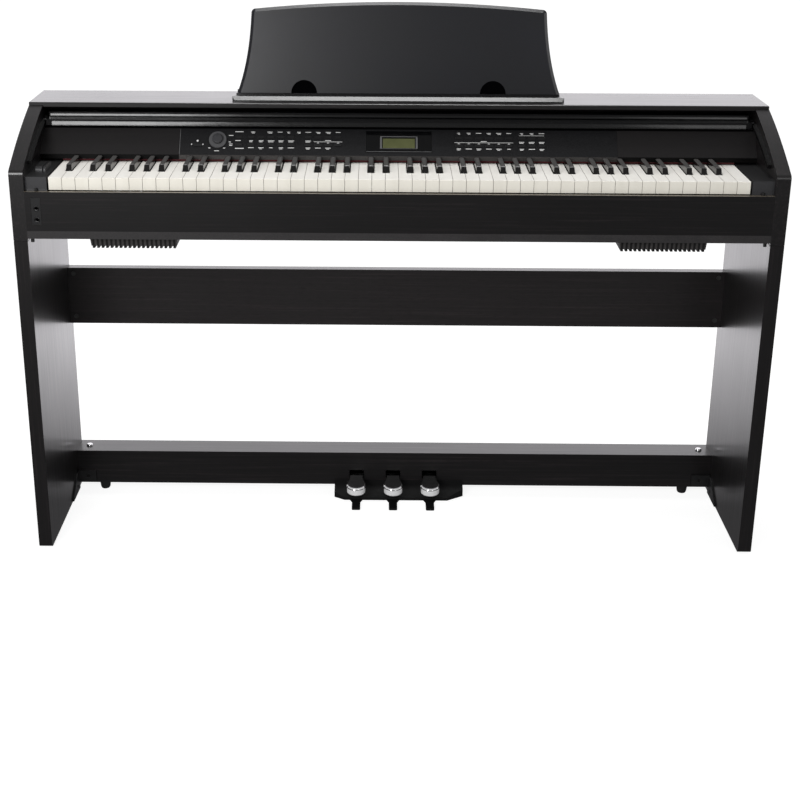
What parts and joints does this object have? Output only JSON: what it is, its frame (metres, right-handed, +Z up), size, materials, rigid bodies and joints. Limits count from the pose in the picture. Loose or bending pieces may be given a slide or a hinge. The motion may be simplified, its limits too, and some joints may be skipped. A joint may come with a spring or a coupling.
{
  "type": "digital piano",
  "caption": "Slim digital piano on a panel stand, with a full-width keyboard, sliding key cover, control panel, music rest and pedals.",
  "frame": {"origin": "on the floor under the middle of the cabinet", "axes": "+X to the player's right, +Y away from the player, +Z up"},
  "size_m": [1.357, 0.299, 0.9955],
  "materials": {
    "cabinet_black": "satin wood-grain laminate",
    "satin_black": "satin moulding",
    "gloss_black": "gloss moulding",
    "key_white": "semi-gloss",
    "key_black": "fine texture",
    "felt_red": "felt",
    "steel_black": "powder coat",
    "steel_plain": "plain",
    "chrome": "polished",
    "display_glass": "matt window",
    "circuit_green": "solder mask",
    "rubber_black": "matt"
  },
  "bodies": {
    "cabinet": {"left_side_panel": "cabinet_black", "right_side_panel": "cabinet_black", "top_board": "cabinet_black", "back_board": "cabinet_black", "keybed": "cabinet_black", "key_slip": "cabinet_black", "left_leg": "cabinet_black", "right_leg": "cabinet_black", "modesty_panel": "cabinet_black", "pedal_rail": "cabinet_black", "cheek_blocks": "satin_black", "control_panel": "satin_black", "fascia_ends": "satin_black", "display_bezel": "gloss_black", "display_module": "display_glass", "panel_circuit_board": "circuit_green", "main_circuit_board": "circuit_green", "speakers": "steel_black", "speaker_grilles": "satin_black", "key_chassis": "steel_plain", "key_felt": "felt_red", "jack_plate": "satin_black", "phone_jacks": "steel_plain", "cover_bumpers": "rubber_black", "terminal_plate": "satin_black", "cover_guides": "satin_black", "music_rest_tray": "gloss_black", "pedal_housing": "steel_black", "pedal_axle": "steel_plain", "rail_feet": "rubber_black", "leg_glides": "rubber_black", "stand_brackets": "steel_black", "stand_bolts": "steel_black", "cap_bolts": "chrome"},
    "volume_knob_body": {"volume_knob": "satin_black"},
    "power_button_body": {"power_button": "satin_black"},
    "tone_buttons_body": {"tone_buttons": "satin_black"},
    "rhythm_buttons_body": {"rhythm_buttons": "satin_black"},
    "song_buttons_body": {"song_buttons": "satin_black"},
    "function_buttons_body": {"function_buttons": "satin_black"},
    "cover_shaft_body": {"cover_shaft": "steel_plain"},
    "cover_rear_leaf_body": {"cover_rear_leaf": "gloss_black"},
    "cover_front_leaf_body": {"cover_front_leaf": "gloss_black"},
    "music_rest_body": {"music_rest": "satin_black"},
    "pedal_left_body": {"pedal_left": "chrome"},
    "pedal_middle_body": {"pedal_middle": "chrome"},
    "pedal_right_body": {"pedal_right": "chrome"},
    "keys_c_body": {"keys_c": "key_white"},
    "keys_d_body": {"keys_d": "key_white"},
    "keys_e_body": {"keys_e": "key_white"},
    "keys_f_body": {"keys_f": "key_white"},
    "keys_g_body": {"keys_g": "key_white"},
    "keys_a_body": {"keys_a": "key_white"},
    "keys_b_body": {"keys_b": "key_white"},
    "keys_c_sharp_body": {"keys_c_sharp": "key_black"},
    "keys_d_sharp_body": {"keys_d_sharp": "key_black"},
    "keys_f_sharp_body": {"keys_f_sharp": "key_black"},
    "keys_g_sharp_body": {"keys_g_sharp": "key_black"},
    "keys_a_sharp_body": {"keys_a_sharp": "key_black"}
  },
  "joints": [
    {"name": "keys_c_press", "type": "hinge", "parent": "cabinet", "child": "keys_c_body", "pos_m": [0, 0.088, 0.7031], "axis": [1, 0, 0], "range_deg": [0, 2.5], "stiffness_Nm_per_rad": 16, "springref_deg": -6.88},
    {"name": "keys_d_press", "type": "hinge", "parent": "cabinet", "child": "keys_d_body", "pos_m": [0, 0.088, 0.7031], "axis": [1, 0, 0], "range_deg": [0, 2.5], "stiffness_Nm_per_rad": 16, "springref_deg": -6.88},
    {"name": "keys_e_press", "type": "hinge", "parent": "cabinet", "child": "keys_e_body", "pos_m": [0, 0.088, 0.7031], "axis": [1, 0, 0], "range_deg": [0, 2.5], "stiffness_Nm_per_rad": 16, "springref_deg": -6.88},
    {"name": "keys_f_press", "type": "hinge", "parent": "cabinet", "child": "keys_f_body", "pos_m": [0, 0.088, 0.7031], "axis": [1, 0, 0], "range_deg": [0, 2.5], "stiffness_Nm_per_rad": 16, "springref_deg": -6.88},
    {"name": "keys_g_press", "type": "hinge", "parent": "cabinet", "child": "keys_g_body", "pos_m": [0, 0.088, 0.7031], "axis": [1, 0, 0], "range_deg": [0, 2.5], "stiffness_Nm_per_rad": 16, "springref_deg": -6.88},
    {"name": "keys_a_press", "type": "hinge", "parent": "cabinet", "child": "keys_a_body", "pos_m": [0, 0.088, 0.7031], "axis": [1, 0, 0], "range_deg": [0, 2.5], "stiffness_Nm_per_rad": 16, "springref_deg": -6.88},
    {"name": "keys_b_press", "type": "hinge", "parent": "cabinet", "child": "keys_b_body", "pos_m": [0, 0.088, 0.7031], "axis": [1, 0, 0], "range_deg": [0, 2.5], "stiffness_Nm_per_rad": 16, "springref_deg": -6.88},
    {"name": "keys_c_sharp_press", "type": "hinge", "parent": "cabinet", "child": "keys_c_sharp_body", "pos_m": [0, 0.088, 0.7031], "axis": [1, 0, 0], "range_deg": [0, 2.5], "stiffness_Nm_per_rad": 9, "springref_deg": -6.88},
    {"name": "keys_d_sharp_press", "type": "hinge", "parent": "cabinet", "child": "keys_d_sharp_body", "pos_m": [0, 0.088, 0.7031], "axis": [1, 0, 0], "range_deg": [0, 2.5], "stiffness_Nm_per_rad": 9, "springref_deg": -6.88},
    {"name": "keys_f_sharp_press", "type": "hinge", "parent": "cabinet", "child": "keys_f_sharp_body", "pos_m": [0, 0.088, 0.7031], "axis": [1, 0, 0], "range_deg": [0, 2.5], "stiffness_Nm_per_rad": 9, "springref_deg": -6.88},
    {"name": "keys_g_sharp_press", "type": "hinge", "parent": "cabinet", "child": "keys_g_sharp_body", "pos_m": [0, 0.088, 0.7031], "axis": [1, 0, 0], "range_deg": [0, 2.5], "stiffness_Nm_per_rad": 9, "springref_deg": -6.88},
    {"name": "keys_a_sharp_press", "type": "hinge", "parent": "cabinet", "child": "keys_a_sharp_body", "pos_m": [0, 0.088, 0.7031], "axis": [1, 0, 0], "range_deg": [0, 2.5], "stiffness_Nm_per_rad": 9, "springref_deg": -6.88},
    {"name": "power_button_press", "type": "slide", "parent": "cabinet", "child": "power_button_body", "axis": [0, 0.7986, -0.6018], "range_m": [0, 0.0008], "stiffness_N_per_m": 1000, "springref_m": -0.001},
    {"name": "tone_buttons_press", "type": "slide", "parent": "cabinet", "child": "tone_buttons_body", "axis": [0, 0.7986, -0.6018], "range_m": [0, 0.0008], "stiffness_N_per_m": 1000, "springref_m": -0.001},
    {"name": "rhythm_buttons_press", "type": "slide", "parent": "cabinet", "child": "rhythm_buttons_body", "axis": [0, 0.7986, -0.6018], "range_m": [0, 0.0008], "stiffness_N_per_m": 1000, "springref_m": -0.001},
    {"name": "song_buttons_press", "type": "slide", "parent": "cabinet", "child": "song_buttons_body", "axis": [0, 0.7986, -0.6018], "range_m": [0, 0.0008], "stiffness_N_per_m": 1000, "springref_m": -0.001},
    {"name": "function_buttons_press", "type": "slide", "parent": "cabinet", "child": "function_buttons_body", "axis": [0, 0.7986, -0.6018], "range_m": [0, 0.0008], "stiffness_N_per_m": 1000, "springref_m": -0.001},
    {"name": "volume_turn", "type": "hinge", "parent": "cabinet", "child": "volume_knob_body", "pos_m": [-0.33, 0.00335, 0.76236], "axis": [0, -0.7986, 0.6018], "range_deg": [-150, 150]},
    {"name": "cover_slide", "type": "slide", "parent": "cabinet", "child": "cover_shaft_body", "axis": [0, -1, 0], "range_m": [0, 0.1]},
    {"name": "cover_tilt", "type": "hinge", "parent": "cover_shaft_body", "child": "cover_rear_leaf_body", "pos_m": [0, 0.14, 0.803], "axis": [1, 0, 0], "range_deg": [-0.2, 19.7]},
    {"name": "cover_extend", "type": "slide", "parent": "cover_rear_leaf_body", "child": "cover_front_leaf_body", "axis": [0, -1, 0], "range_m": [-0.0005, 0.0665]},
    {"name": "music_rest_lift", "type": "slide", "parent": "cabinet", "child": "music_rest_body", "axis": [0, 0.1736, 0.9848], "range_m": [0, 0.04]},
    {"name": "pedal_left_press", "type": "hinge", "parent": "cabinet", "child": "pedal_left_body", "pos_m": [0, 0.123, 0.039], "axis": [1, 0, 0], "range_deg": [0, 6.5], "stiffness_Nm_per_rad": 6, "springref_deg": -8.59},
    {"name": "pedal_middle_press", "type": "hinge", "parent": "cabinet", "child": "pedal_middle_body", "pos_m": [0, 0.123, 0.039], "axis": [1, 0, 0], "range_deg": [0, 6.5], "stiffness_Nm_per_rad": 6, "springref_deg": -8.59},
    {"name": "pedal_right_press", "type": "hinge", "parent": "cabinet", "child": "pedal_right_body", "pos_m": [0, 0.123, 0.039], "axis": [1, 0, 0], "range_deg": [0, 6.5], "stiffness_Nm_per_rad": 6, "springref_deg": -8.59}
  ],
  "couplings": [
    {"joint": "cover_tilt", "follows": "cover_slide", "rad_per_m": 3.4034},
    {"joint": "cover_extend", "follows": "cover_slide", "ratio": 0.66}
  ]
}
